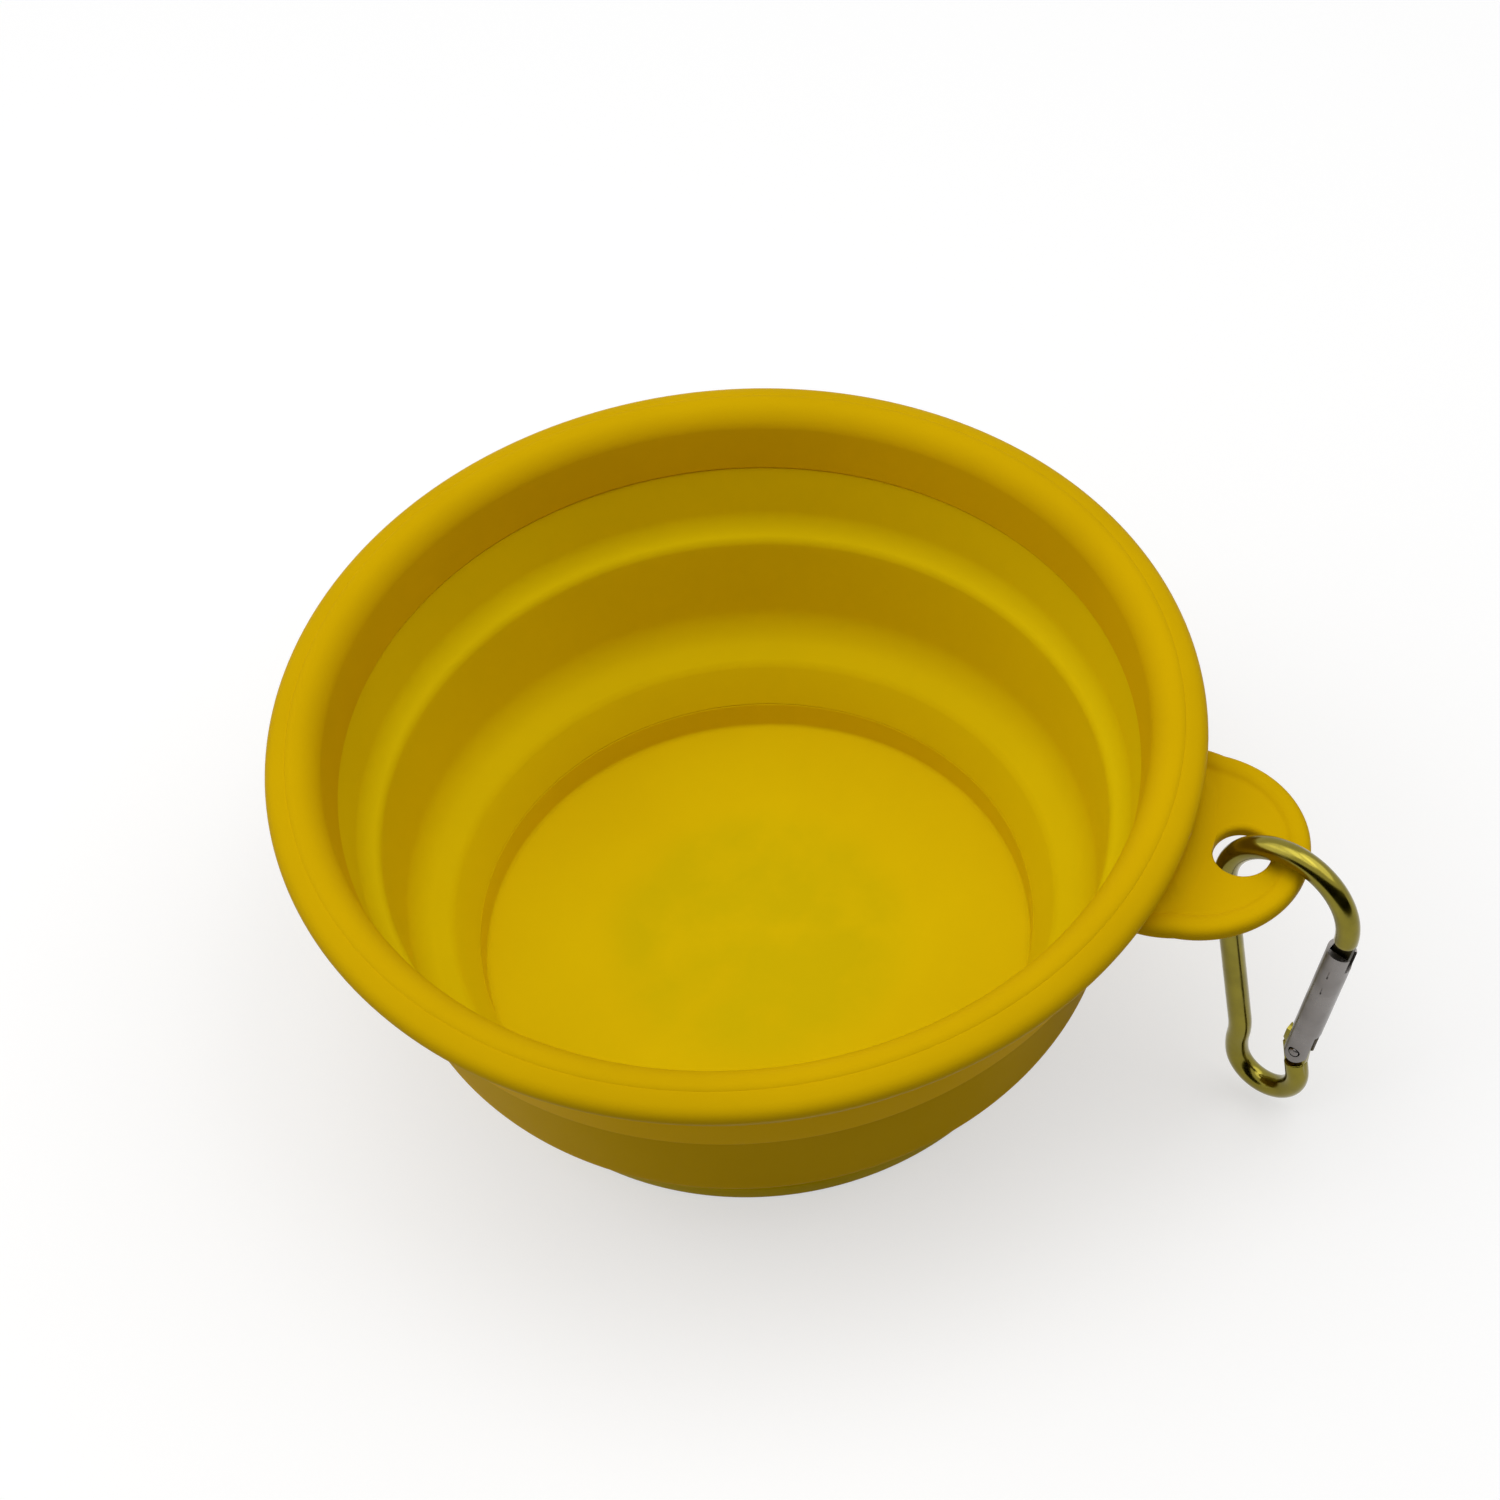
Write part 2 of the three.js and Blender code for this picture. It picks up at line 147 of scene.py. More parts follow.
# A line through corners of (radius, height, rounding), drawn in the XZ plane by extruding one point
def drawLine(name, corners, closed=True, segments=6):
    bpy.ops.object.select_all(action="DESELECT")
    first = Vector((corners[0][0], 0, corners[0][1])) * mm
    bpy.ops.mesh.primitive_plane_add(size=mm, location=first)
    piece = bpy.context.object
    piece.name = piece.data.name = name
    bpy.ops.object.transform_apply(location=True, rotation=True, scale=True)
    edit(piece)
    bpy.ops.mesh.select_mode(type="VERT")
    bpy.ops.mesh.select_all(action="SELECT")
    bpy.ops.mesh.merge(type="CENTER")
    for here, there in zip(corners, corners[1:]):
        step = ((there[0] - here[0]) * mm, 0, (there[1] - here[1]) * mm)
        bpy.ops.mesh.extrude_vertices_move(TRANSFORM_OT_translate={"value": step})
    if closed:
        ends = [near((c[0], 0, c[1])) for c in (corners[0], corners[-1])]
        pickPoints(lambda co: any(end(co) for end in ends))
        bpy.ops.mesh.edge_face_add()
    for radius, height, rounding in corners:
        if rounding:
            pickPoints(near((radius, 0, height)))
            bpy.ops.mesh.bevel(offset=rounding * mm, segments=segments, affect="VERTICES", profile=0.5)
    return piece


# Turns the drawn line about an upright axis at axisX, and closes the seam
def turnLine(steps, turn=360, axisX=0):
    bpy.ops.mesh.select_all(action="SELECT")
    bpy.ops.mesh.spin(steps=steps, angle=radians(turn), center=(axisX * mm, 0, 0), axis=(0, 0, 1))
    tidyMesh()


def tidyMesh(reach=0.002):
    bpy.ops.mesh.select_all(action="SELECT")
    bpy.ops.mesh.remove_doubles(threshold=reach * mm)
    bpy.ops.mesh.normals_make_consistent(inside=False)


def joinInto(piece, *others):
    only(piece)
    for other in others:
        other.select_set(True)
    bpy.ops.object.join()


def shapeWith(piece, tool, how="DIFFERENCE"):
    only(piece)
    bpy.ops.object.modifier_add(type="BOOLEAN")
    modifier = piece.modifiers[-1]
    modifier.operation = how
    modifier.solver = "EXACT"
    modifier.object = tool
    bpy.ops.object.modifier_apply(modifier=modifier.name)
    bpy.data.objects.remove(tool, do_unlink=True)


def softenEdges(piece, width, angle=35, segments=2):
    only(piece)
    bpy.ops.object.modifier_add(type="BEVEL")
    modifier = piece.modifiers[-1]
    modifier.width = width * mm
    modifier.segments = segments
    modifier.limit_method = "ANGLE"
    modifier.angle_limit = radians(angle)
    bpy.ops.object.modifier_apply(modifier=modifier.name)


def smooth(piece, angle=40):
    only(piece)
    bpy.ops.object.shade_smooth_by_angle(angle=radians(angle))


def settle(piece, matrix):
    only(piece)
    piece.matrix_world = matrix
    bpy.ops.object.transform_apply(location=True, rotation=True, scale=True)


def addBox(name, low, high):
    bpy.ops.object.select_all(action="DESELECT")
    middle = [(a + b) / 2 * mm for a, b in zip(low, high)]
    bpy.ops.mesh.primitive_cube_add(size=1, location=middle)
    box = bpy.context.object
    box.name = name
    box.scale = [(b - a) * mm for a, b in zip(low, high)]
    bpy.ops.object.transform_apply(location=True, rotation=True, scale=True)
    return box


# Round bar along an axis of its own frame, between two places on it
def addBar(name, radius, low, high, axis="Y", sides=48):
    bpy.ops.object.select_all(action="DESELECT")
    middle = (low + high) / 2 * mm
    place = (0, middle, 0) if axis == "Y" else (0, 0, middle)
    turn = (-pi / 2, 0, 0) if axis == "Y" else (0, 0, 0)
    bpy.ops.mesh.primitive_cylinder_add(
        vertices=sides, radius=radius * mm, depth=(high - low) * mm, location=place, rotation=turn)
    bar = bpy.context.object
    bar.name = name
    bpy.ops.object.transform_apply(location=True, rotation=True, scale=True)
    return bar


# Flat blade from an outline in the XY plane, centred on it
def addBlade(name, outline, thickness):
    piece = drawLine(name, [(x, y, 0) for x, y in outline])
    bpy.ops.mesh.select_all(action="SELECT")
    bpy.ops.mesh.edge_face_add()
    bpy.ops.mesh.extrude_region_move(TRANSFORM_OT_translate={"value": (0, thickness * mm, 0)})
    tidyMesh()
    done()
    flat = Matrix.Rotation(pi / 2, 4, "X").inverted() @ Matrix.Translation((0, -thickness / 2 * mm, 0))
    settle(piece, flat)
    edit(piece)
    tidyMesh()
    done()
    return piece


# Rim ring with its hang tab

rimSizes = {
    "steps": 216,
    "segments": 18,
    "profile": [
        (56.2, 44.9, 0.4),
        (57.75, 54.4, 2.5),
        (60.95, 55.0, 0),
        (61.8, 54.93, 0),
        (61.98, 54.78, 0),
        (62.2, 54.79, 0),
        (66.3, 53.3, 2.8),
        (61.6, 47.2, 0.8),
        (60.95, 44.9, 0.45),
        (58.9, 44.9, 0),
        (58.9, 48.2, 0),
        (57.3, 48.2, 0),
        (57.3, 44.9, 0.2),
    ],
}
tabSizes = {
    "centre": 65,
    "steps": 120,
    "profile": [
        (11.3, 47.0, 0),
        (12.3, 46.97, 0.35),
        (13.2, 47.6, 0.6),
        (15.5, 47.58, 1.15),
        (15.5, 45.05, 0.9),
        (11.3, 45.05, 0),
    ],
    "holeCentre": 71.5,
    "holeProfile": [(4.7, 47.0, 0), (3.9, 47.0, 0.75), (3.9, 45.05, 0.38), (4.3, 45.05, 0)],
    "rootCut": 59.2,
    "flareFrom": 65.6,
    "flareBeyond": 11,
    "flareStep": 0.8,
    "flareSteps": 7,
    "flare": 1.011,
    "filletProfile": [
        (64.9, 51.6, 0),
        (64.3, 46.98, 3.1),
        (67.6, 46.98, 0),
        (67.6, 46.3, 0),
        (61.15, 46.3, 0),
        (63.3, 51.6, 0),
    ],
    "filletSegments": 8,
    "filletReach": 13.6,
    "filletSteps": 48,
    "filletFade": 8.0,
    "filletFadeStep": 0.55,
    "filletFadeSteps": 9,
    "filletFadeScale": 0.996,
}


def spunShell(name, profile, steps, centre):
    corners = [(centre + s, z, r) for s, z, r in profile]
    shell = drawLine(name, corners, closed=False)
    turnLine(steps, axisX=centre)
    done()
    return shell


def makeTab(sizes):
    tab = spunShell("tab", sizes["profile"], sizes["steps"], sizes["centre"])
    hole = spunShell("hole", sizes["holeProfile"], sizes["steps"], sizes["holeCentre"])
    joinInto(tab, hole)
    edit(tab)
    for height in (sizes["profile"][0][1], sizes["profile"][-1][1]):
        level = height * mm
        pickEdges(lambda e: isOpen(e) and all(abs(v.co.z - level) < tiny for v in e.verts))
        bpy.ops.mesh.bridge_edge_loops()
    tidyMesh()
    bpy.ops.mesh.bisect(
        plane_co=(sizes["rootCut"] * mm, 0, 0), plane_no=(1, 0, 0), use_fill=True, clear_inner=True)
    for step in range(sizes["flareSteps"]):  # the outline widens a little towards its root
        limit = (sizes["flareFrom"] - sizes["flareStep"] * step) * mm
        pickPoints(lambda co: co.x < limit and abs(co.y) > sizes["flareBeyond"] * mm)
        bpy.ops.transform.resize(value=(1, sizes["flare"], 1), center_override=(0, 0, 0))
    tidyMesh()
    done()
    return tab


def makeTabFillet(sizes):
    fillet = drawLine("tabFillet", sizes["filletProfile"], segments=sizes["filletSegments"])
    reach, scale = sizes["filletReach"], sizes["filletFadeScale"]
    turnLine(sizes["filletSteps"], turn=2 * reach)
    pickEdges(lambda e: isOpen(e) and all(v.co.y > -tiny for v in e.verts))
    bpy.ops.mesh.edge_face_add()
    pickEdges(isOpen)
    bpy.ops.mesh.edge_face_add()
    tidyMesh()
    done()
    settle(fillet, Matrix.Rotation(radians(reach), 4, "Z"))
    edit(fillet)
    for step in range(sizes["filletFadeSteps"]):  # its ends run out under the rim
        limit = radians(sizes["filletFade"] + sizes["filletFadeStep"] * step)
        pickPoints(lambda co: abs(atan2(co.y, co.x)) > limit)
        bpy.ops.transform.resize(value=(scale, scale, 1), center_override=(0, 0, 0))
    done()
    return fillet


def makeRim(sizes, tab):
    rim = drawLine("rimRing", sizes["profile"], segments=sizes["segments"])
    turnLine(sizes["steps"])
    done()
    shapeWith(rim, makeTab(tab), "UNION")
    shapeWith(rim, makeTabFillet(tab), "UNION")
    edit(rim)
    tidyMesh()
    done()
    smooth(rim)
    return rim


rimRing = makeRim(rimSizes, tabSizes)
print("rim ring:", len(rimRing.data.polygons), "faces")


# Soft wall, one moulding from the base to the rim

wallSizes = {
    "steps": 216,
    "profile": [
        (41.55, 6.76, 0.12),
        (44.75, 12.9, 0.9),
        (50.45, 15.7, 3.2),
        (52.25, 33.1, 0.9),
        (55.0, 34.6, 2.2),
        (56.4, 44.84, 0.12),
        (57.6, 44.84, 0),
        (57.6, 47.9, 0),
        (58.6, 47.9, 0),
        (58.6, 44.84, 0.3),
        (57.0, 34.1, 0.5),
        (54.05, 32.2, 0.9),
        (52.45, 15.1, 0.9),
        (46.5, 10.9, 1.6),
        (45.0, 3.3, 0.3),
        (43.4, 3.3, 0),
        (43.4, 6.76, 0),
    ],
    "longLine": 10,  # height in mm above which a line of the profile counts as steep
    "foldFrom": 33.1,
    "foldTo": 17.0,
    "foldCuts": 15,
    "outsideStep": 33.9,
    "outward": 2,  # a face is outside where its normal along its radius, in mm, is above this
    "underside": -0.3,  # or where its normal points down past this
}


def makeWall(sizes):
    wall = drawLine("softWall", sizes["profile"])
    long = sizes["longLine"] * mm  # the steep lines get more cuts, where the real wall bends when it folds
    pickEdges(lambda e: abs(e.verts[0].co.z - e.verts[1].co.z) > long)
    bpy.ops.mesh.subdivide(number_cuts=sizes["foldCuts"])
    turnLine(sizes["steps"])
    done()
    smooth(wall)
    return wall


softWall = makeWall(wallSizes)
print("soft wall:", len(softWall.data.polygons), "faces")


# Base tray with its foot band and upstand

baseSizes = {
    "steps": 216,
    "profile": [
        (0, 2.0, 0),
        (41.15, 2.0, 0.5),
        (41.5, 6.7, 0.2),
        (43.1, 6.7, 0.45),
        (43.1, 3.0, 0),
        (45.0, 3.0, 0.35),
        (45.0, 0, 1.0),
        (0, 0, 0),
    ],
}


def makeBase(sizes):
    base = drawLine("baseTray", sizes["profile"], closed=False)
    turnLine(sizes["steps"])
    done()
    smooth(base)
    return base


baseTray = makeBase(baseSizes)
print("base tray:", len(baseTray.data.polygons), "faces")


# Carabiner: own frame with X across, Y up the spine, the middle of the bow at the origin

clipSizes = {
    "place": (78.3, -2.5, 40.6518),
    "turn": -20,
    "stand": 84,
    "tilt": 12.6,
    "rod": 1.65,
    "sides": 32,
    "bowSteps": 56,
    "kinkSteps": 8,
    "eyeSteps": 44,
    "endRounding": 0.22,
    "bow": 9.45,
    "noseAngle": -18,
    "noseLength": 0.2,
    "spine": 25.4,
    "eye": 4.9,
    "eyeBulge": 1.05,
    "eyeDrop": 6.6,
    "arm": 2.4,
    "hingeRise": 3.6,
    "hingeOffset": 1.1,
    "blade": 1.4,
    "bladeRounding": 0.12,
    "tongueInner": 1.1,
    "tongueOuter": 1.5,
    "tongueReach": 2.5,
    "lugHeel": 1.4,
    "camWidth": 2.5,
    "camHeight": 2.1,
    "neckInner": 2.5,
    "neckSlack": 0.02,
    "darkBelow": 0.5,  # painted shade on the end of the nose, from below the tongue's tip to above the rod's end
    "darkAbove": 0.05,
}
gateSizes = {
    "sides": 64,
    "edgeRounding": 0.1,
    "formPast": 2,  # how far the heel's form and the pocket's cutter pass the gate's end
    "pocketPast": 1,
    "radius": 2.05,
    "heel": 2.15,
    "noseGap": 1.85,
    "slotSide": 1.0,
    "seat": 0.3,
    "bore": 1.3,
    "stop": 1.6,
    "rivet": 0.7,
    "rivetHole": 0.9,
    "rivetStandOut": 0.24,
    "seamX": 0.14,
    "seamWidth": 0.2,
    "seamDepth": 0.2,
    "seamTop": 3,
    "seams": [(14.4, 15.8), (18.0, 19.6)],
}

eyeX = clipSizes["eye"] - clipSizes["bow"] - clipSizes["eyeBulge"]
eyeY = -clipSizes["spine"] - clipSizes["eyeDrop"]
armEnd = Vector((eyeX + clipSizes["eye"], eyeY + clipSizes["arm"], 0))
hinge = armEnd + Vector((clipSizes["hingeOffset"], clipSizes["hingeRise"], 0))
noseTurn = radians(clipSizes["noseAngle"])
bowEnd = Vector((cos(noseTurn), sin(noseTurn), 0)) * clipSizes["bow"]
noseWay = Vector((sin(noseTurn), -cos(noseTurn), 0))
nose = bowEnd + noseWay * clipSizes["noseLength"]
hingeToNose = (nose - hinge).length
gateTilt = atan2(nose.x - hinge.x, nose.y - hinge.y)
gateLength = hingeToNose - gateSizes["noseGap"]
gateSlotTop = hypot(clipSizes["camWidth"], clipSizes["camHeight"]) + 2 * gateSizes["seat"]
boreTop = gateLength - clipSizes["tongueReach"] - gateSizes["stop"] - gateSizes["seat"]

clipMatrix = (
    Matrix.Translation(Vector(clipSizes["place"]) * mm)
    @ Matrix.Rotation(radians(clipSizes["turn"]), 4, "Z")
    @ Matrix.Rotation(radians(clipSizes["stand"]), 4, "X")
    @ Matrix.Rotation(radians(clipSizes["tilt"]), 4, "Z")
)
inClip = Matrix.Translation(hinge * mm) @ Matrix.Rotation(-gateTilt, 4, "Z")
gateMatrix = clipMatrix @ inClip
alongGate = gateMatrix @ Matrix.Rotation(-pi / 2, 4, "X")  # a turned piece's Z becomes the gate's Y


def bendRod(centre, turn, steps):
    bpy.ops.mesh.spin(
        steps=steps, angle=-radians(turn), center=(centre[0] * mm, centre[1] * mm, 0), axis=(0, 0, 1))


def pushRod(way):
    bpy.ops.mesh.extrude_region_move(TRANSFORM_OT_translate={"value": Vector(way) * mm})


def makeRod(sizes):
    bpy.ops.object.select_all(action="DESELECT")
    bpy.ops.mesh.primitive_circle_add(
        vertices=sizes["sides"], radius=sizes["rod"] * mm, fill_type="NGON",
        location=nose * mm, rotation=(-pi / 2, 0, noseTurn))
    rod = bpy.context.object
    rod.name = rod.data.name = "carabinerRod"
    bpy.ops.object.transform_apply(location=True, rotation=True, scale=True)
    edit(rod)
    bpy.ops.mesh.select_mode(type="FACE")
    bpy.ops.mesh.select_all(action="SELECT")
    pushRod(-noseWay * sizes["noseLength"])
    bendRod((0, 0), 180 - sizes["noseAngle"], sizes["bowSteps"])
    pushRod((0, -sizes["spine"], 0))
    kink = 2 * atan2(sizes["eyeBulge"], sizes["eyeDrop"])  # two equal bends that shift the rod outwards
    kinkRadius = sizes["eyeDrop"] / 2 / sin(kink)
    bendRod((-sizes["bow"] - kinkRadius, -sizes["spine"]), -degrees(kink), sizes["kinkSteps"])
    bendRod((-sizes["bow"] - sizes["eyeBulge"] + kinkRadius, eyeY), degrees(kink), sizes["kinkSteps"])
    bendRod((eyeX, eyeY), 180, sizes["eyeSteps"])
    pushRod((0, sizes["arm"], 0))
    tidyMesh()
    done()
    softenEdges(rod, sizes["endRounding"], angle=60, segments=3)
    return rod


def makeClipBody(sizes):
    rod = makeRod(sizes)
    tip, root = gateLength - sizes["tongueReach"], hingeToNose + sizes["rod"] / 2
    inner, outer = -sizes["tongueInner"], sizes["tongueOuter"]
    tongue = addBlade("tongue", [(inner, tip), (outer, tip), (outer, root), (inner, root)], sizes["blade"])
    heel, cam = sizes["lugHeel"], sizes["camWidth"]
    lugOutline = [(-cam, 0), (-heel, -heel), (heel, -heel), (heel, heel), (-cam, sizes["camHeight"])]
    lug = addBlade("lug", lugOutline, sizes["blade"])
    foot = armEnd.y - sizes["rod"] / 2
    neckOutline = [
        (armEnd.x - heel, foot), (armEnd.x + heel, foot),
        (hinge.x + heel, hinge.y), (hinge.x - sizes["neckInner"], hinge.y)]
    neck = addBlade("neck", neckOutline, sizes["blade"] - sizes["neckSlack"])
    settle(lug, inClip)
    settle(tongue, inClip)
    shapeWith(lug, neck, "UNION")
    bore = addBar("bore", gateSizes["rivetHole"], -cutReach, cutReach, axis="Z")
    settle(bore, inClip)
    shapeWith(lug, bore)
    softenEdges(lug, sizes["bladeRounding"])
    softenEdges(tongue, sizes["bladeRounding"])
    shapeWith(rod, lug, "UNION")
    shapeWith(rod, tongue, "UNION")
    edit(rod)
    tidyMesh()
    # a second slot for the painted shade on the nose end and tongue
    rod.data.materials.append(None)
    rod.data.materials.append(None)
    toGate = inClip.inverted() * (1 / mm)

    def isNoseEnd(face):
        place = toGate @ face.calc_center_median()
        onEnd = tip - sizes["darkBelow"] < place.y < hingeToNose + sizes["darkAbove"]
        return onEnd and abs(place.x) < 2 * sizes["rod"]

    pickFaces(isNoseEnd)
    rod.active_material_index = 1
    bpy.ops.object.material_slot_assign()
    done()
    settle(rod, clipMatrix)
    smooth(rod)
    return rod


def makeGate(sizes):
    gate = addBar("carabinerGate", sizes["radius"], -sizes["heel"], gateLength, sides=sizes["sides"])
    heel = addBar("heelForm", sizes["heel"], -cutReach, cutReach, axis="Z", sides=sizes["sides"])
    edit(heel)
    pickPoints(lambda co: co.y > tiny)
    bpy.ops.transform.translate(value=(0, (gateLength + sizes["formPast"]) * mm, 0))
    done()
    shapeWith(gate, heel, "INTERSECT")
    side, seat = sizes["slotSide"], sizes["seat"]
    shapeWith(gate, addBox("slot", (-cutReach, -cutReach, -side), (cutReach, gateSlotTop, side)))
    low = gateLength - clipSizes["tongueReach"] - seat
    face = -clipSizes["tongueInner"] - seat
    end = gateLength + sizes["pocketPast"]
    shapeWith(gate, addBox("pocket", (face, low, -side), (cutReach, end, side)))
    shapeWith(gate, addBar("bore", sizes["bore"], 0, boreTop))
    shapeWith(gate, addBar("rivetHole", sizes["rivetHole"], -cutReach, cutReach, axis="Z"))
    softenEdges(gate, sizes["edgeRounding"])
    half, floor = sizes["seamWidth"] / 2, sizes["radius"] - sizes["seamDepth"]
    left, right = sizes["seamX"] - half, sizes["seamX"] + half
    for low, high in sizes["seams"]:
        shapeWith(gate, addBox("seam", (left, low, floor), (right, high, sizes["seamTop"])))
    edit(gate)
    tidyMesh()
    done()
    settle(gate, gateMatrix)
    smooth(gate)
    return gate


rivetSizes = {
    "steps": 40,
    "crown": 0.35,
    "crownDrop": 0.03,
    "crownRounding": 0.1,
    "edgeDrop": 0.2,
    "edgeRounding": 0.15,
}


def makeRivet(sizes, gate):
    end = gate["radius"] + gate["rivetStandOut"]
    profile = [
        (0, end, 0),
        (sizes["crown"], end - sizes["crownDrop"], sizes["crownRounding"]),
        (gate["rivet"], end - sizes["edgeDrop"], sizes["edgeRounding"]),
    ]
    rivet = drawLine("gateRivet", profile + [(r, -z, c) for r, z, c in reversed(profile)], closed=False)
    turnLine(sizes["steps"])
    done()
    settle(rivet, gateMatrix)
    smooth(rivet)
    return rivet


plungerSizes = {
    "steps": 36,
    "foot": 2.12,
    "profile": [(0, 0, 0), (0.95, 0, 0.2), (0.95, 4.2, 0.15), (0.4, 4.2, 0), (0.4, 5.6, 0.1), (0, 5.6, 0)],
}
springSizes = {
    "wire": 0.18,
    "radius": 0.85,
    "low": 6.80,
    "high": 17.69,
    "turns": 9,
    "sides": 10,
    "steps": 24,
    "smoothAngle": 60,
    "travel": 1.2,
}


def makePlunger(sizes):
    corners = [(r, z + sizes["foot"], c) for r, z, c in sizes["profile"]]
    plunger = drawLine("gatePlunger", corners, closed=False)
    turnLine(sizes["steps"])
    done()
    settle(plunger, alongGate)
    smooth(plunger)
    return plunger


def makeSpring(sizes):
    bpy.ops.object.select_all(action="DESELECT")
    bpy.ops.mesh.primitive_circle_add(
        vertices=sizes["sides"], radius=sizes["wire"] * mm,
        location=(sizes["radius"] * mm, 0, sizes["low"] * mm), rotation=(pi / 2, 0, 0))
    spring = bpy.context.object
    spring.name = spring.data.name = "gateSpring"
    bpy.ops.object.transform_apply(location=True, rotation=True, scale=True)
    bpy.ops.object.modifier_add(type="SCREW")
    coil = spring.modifiers[-1]
    coil.axis = "Z"
    coil.steps = coil.render_steps = sizes["steps"]
    coil.screw_offset = (sizes["high"] - sizes["low"]) / sizes["turns"] * mm
    coil.iterations = sizes["turns"]
    bpy.ops.object.modifier_apply(modifier=coil.name)
    edit(spring)
    middle = (sizes["high"] + sizes["low"]) / 2 * mm
    pickEdges(lambda e: isOpen(e) and e.verts[0].co.z < middle)
    bpy.ops.mesh.edge_face_add()
    pickEdges(isOpen)
    bpy.ops.mesh.edge_face_add()
    tidyMesh()
    done()
    settle(spring, alongGate)
    smooth(spring, sizes["smoothAngle"])
    return spring


carabinerRod = makeClipBody(clipSizes)
print("carabiner rod:", len(carabinerRod.data.polygons), "faces")
carabinerGate = makeGate(gateSizes)
gateRivet = makeRivet(rivetSizes, gateSizes)
gatePlunger = makePlunger(plungerSizes)
gateSpring = makeSpring(springSizes)
print("gate:", len(carabinerGate.data.polygons), "faces, with rivet, plunger and spring")


# Shared effects as node groups

effectSizes = {
    "fineDetail": 3,
    "wideScale": 90,
    "wideDetail": 1,
    "cloudDetail": 4,
    "cloudLow": 0.35,
    "cloudHigh": 0.65,
}


def newGroup(name, inputs, outputs):
    group = bpy.data.node_groups.new(name, "ShaderNodeTree")
    for label, kind, value in inputs:
        socket = group.interface.new_socket(label, in_out="INPUT", socket_type=kind)
        socket.default_value = value
    for label, kind in outputs:
        group.interface.new_socket(label, in_out="OUTPUT", socket_type=kind)
    return group, group.nodes.new("NodeGroupInput"), group.nodes.new("NodeGroupOutput")


def addNode(tree, kind, **values):
    node = tree.nodes.new(kind)
    for label, value in values.items():
        setattr(node, label, value)
    return node


# Fine moulded grain: two sizes of soft noise, as a height
def grainGroup(sizes):
    group, given, put = newGroup(
        "mouldedGrain",
        [("Scale", "NodeSocketFloat", 900), ("Waviness", "NodeSocketFloat", 0.5)],
        [("Height", "NodeSocketFloat")])
    place = addNode(group, "ShaderNodeTexCoord")
    fine = addNode(group, "ShaderNodeTexNoise")
    fine.inputs["Detail"].default_value = sizes["fineDetail"]
    wide = addNode(group, "ShaderNodeTexNoise")
    wide.inputs["Scale"].default_value = sizes["wideScale"]
    wide.inputs["Detail"].default_value = sizes["wideDetail"]
    mix = addNode(group, "ShaderNodeMath", operation="MULTIPLY_ADD")
    link = group.links.new
    link(place.outputs["Object"], fine.inputs["Vector"])
    link(place.outputs["Object"], wide.inputs["Vector"])
    link(given.outputs["Scale"], fine.inputs["Scale"])
    link(wide.outputs["Fac"], mix.inputs[0])
    link(given.outputs["Waviness"], mix.inputs[1])
    link(fine.outputs["Fac"], mix.inputs[2])
    link(mix.outputs[0], put.inputs["Height"])
    return group


# Slow drift between two tones, with a roughness that follows it
def toneGroup(sizes):
    group, given, put = newGroup(
        "toneDrift",
        [("Tone", "NodeSocketColor", (1, 1, 1, 1)), ("Other tone", "NodeSocketColor", (1, 1, 1, 1)),
         ("Scale", "NodeSocketFloat", 25),
         ("Smooth", "NodeSocketFloat", 0.35), ("Rough", "NodeSocketFloat", 0.45)],
        [("Colour", "NodeSocketColor"), ("Roughness", "NodeSocketFloat")])
    place = addNode(group, "ShaderNodeTexCoord")
    cloud = addNode(group, "ShaderNodeTexNoise")
    cloud.inputs["Detail"].default_value = sizes["cloudDetail"]
    spread = addNode(group, "ShaderNodeMapRange")
    spread.inputs["From Min"].default_value = sizes["cloudLow"]
    spread.inputs["From Max"].default_value = sizes["cloudHigh"]
    blend = addNode(group, "ShaderNodeMix", data_type="RGBA")
    rough = addNode(group, "ShaderNodeMapRange")
    link = group.links.new
    link(place.outputs["Object"], cloud.inputs["Vector"])
    link(given.outputs["Scale"], cloud.inputs["Scale"])
    link(cloud.outputs["Fac"], spread.inputs["Value"])
    link(spread.outputs["Result"], blend.inputs["Factor"])
    link(given.outputs["Tone"], blend.inputs["A"])
    link(given.outputs["Other tone"], blend.inputs["B"])
    link(spread.outputs["Result"], rough.inputs["Value"])
    link(given.outputs["Smooth"], rough.inputs["To Min"])
    link(given.outputs["Rough"], rough.inputs["To Max"])
    link(blend.outputs["Result"], put.inputs["Colour"])
    link(rough.outputs["Result"], put.inputs["Roughness"])
    return group


grain = grainGroup(effectSizes)
tone = toneGroup(effectSizes)


def placeGroup(tree, group, **values):
    node = tree.nodes.new("ShaderNodeGroup")
    node.node_tree = group
    for label, value in values.items():
        node.inputs[label.replace("_", " ")].default_value = value
    return node


def startMaterial(name):
    material = bpy.data.materials.new(name)
    material.use_nodes = True
    return material, material.node_tree, material.node_tree.nodes["Principled BSDF"]


# Tone and grain that every finish has, each with its own values
def startFinish(name, finish, waviness, bumpStrength):
    material, tree, shader = startMaterial(name)
    toneInputs = ("Tone", "Other_tone", "Scale", "Smooth", "Rough")
    drift = placeGroup(tree, tone, **{label: finish[label] for label in toneInputs})
    relief = placeGroup(tree, grain, Scale=finish["grain"], Waviness=waviness)
    bump = addNode(tree, "ShaderNodeBump")
    bump.inputs["Strength"].default_value = bumpStrength
    bump.inputs["Distance"].default_value = finish["depth"]
    link = tree.links.new
    link(drift.outputs["Colour"], shader.inputs["Base Color"])
    link(drift.outputs["Roughness"], shader.inputs["Roughness"])
    link(relief.outputs["Height"], bump.inputs["Height"])
    link(bump.outputs["Normal"], shader.inputs["Normal"])
    return material, tree, shader, drift.outputs["Colour"]


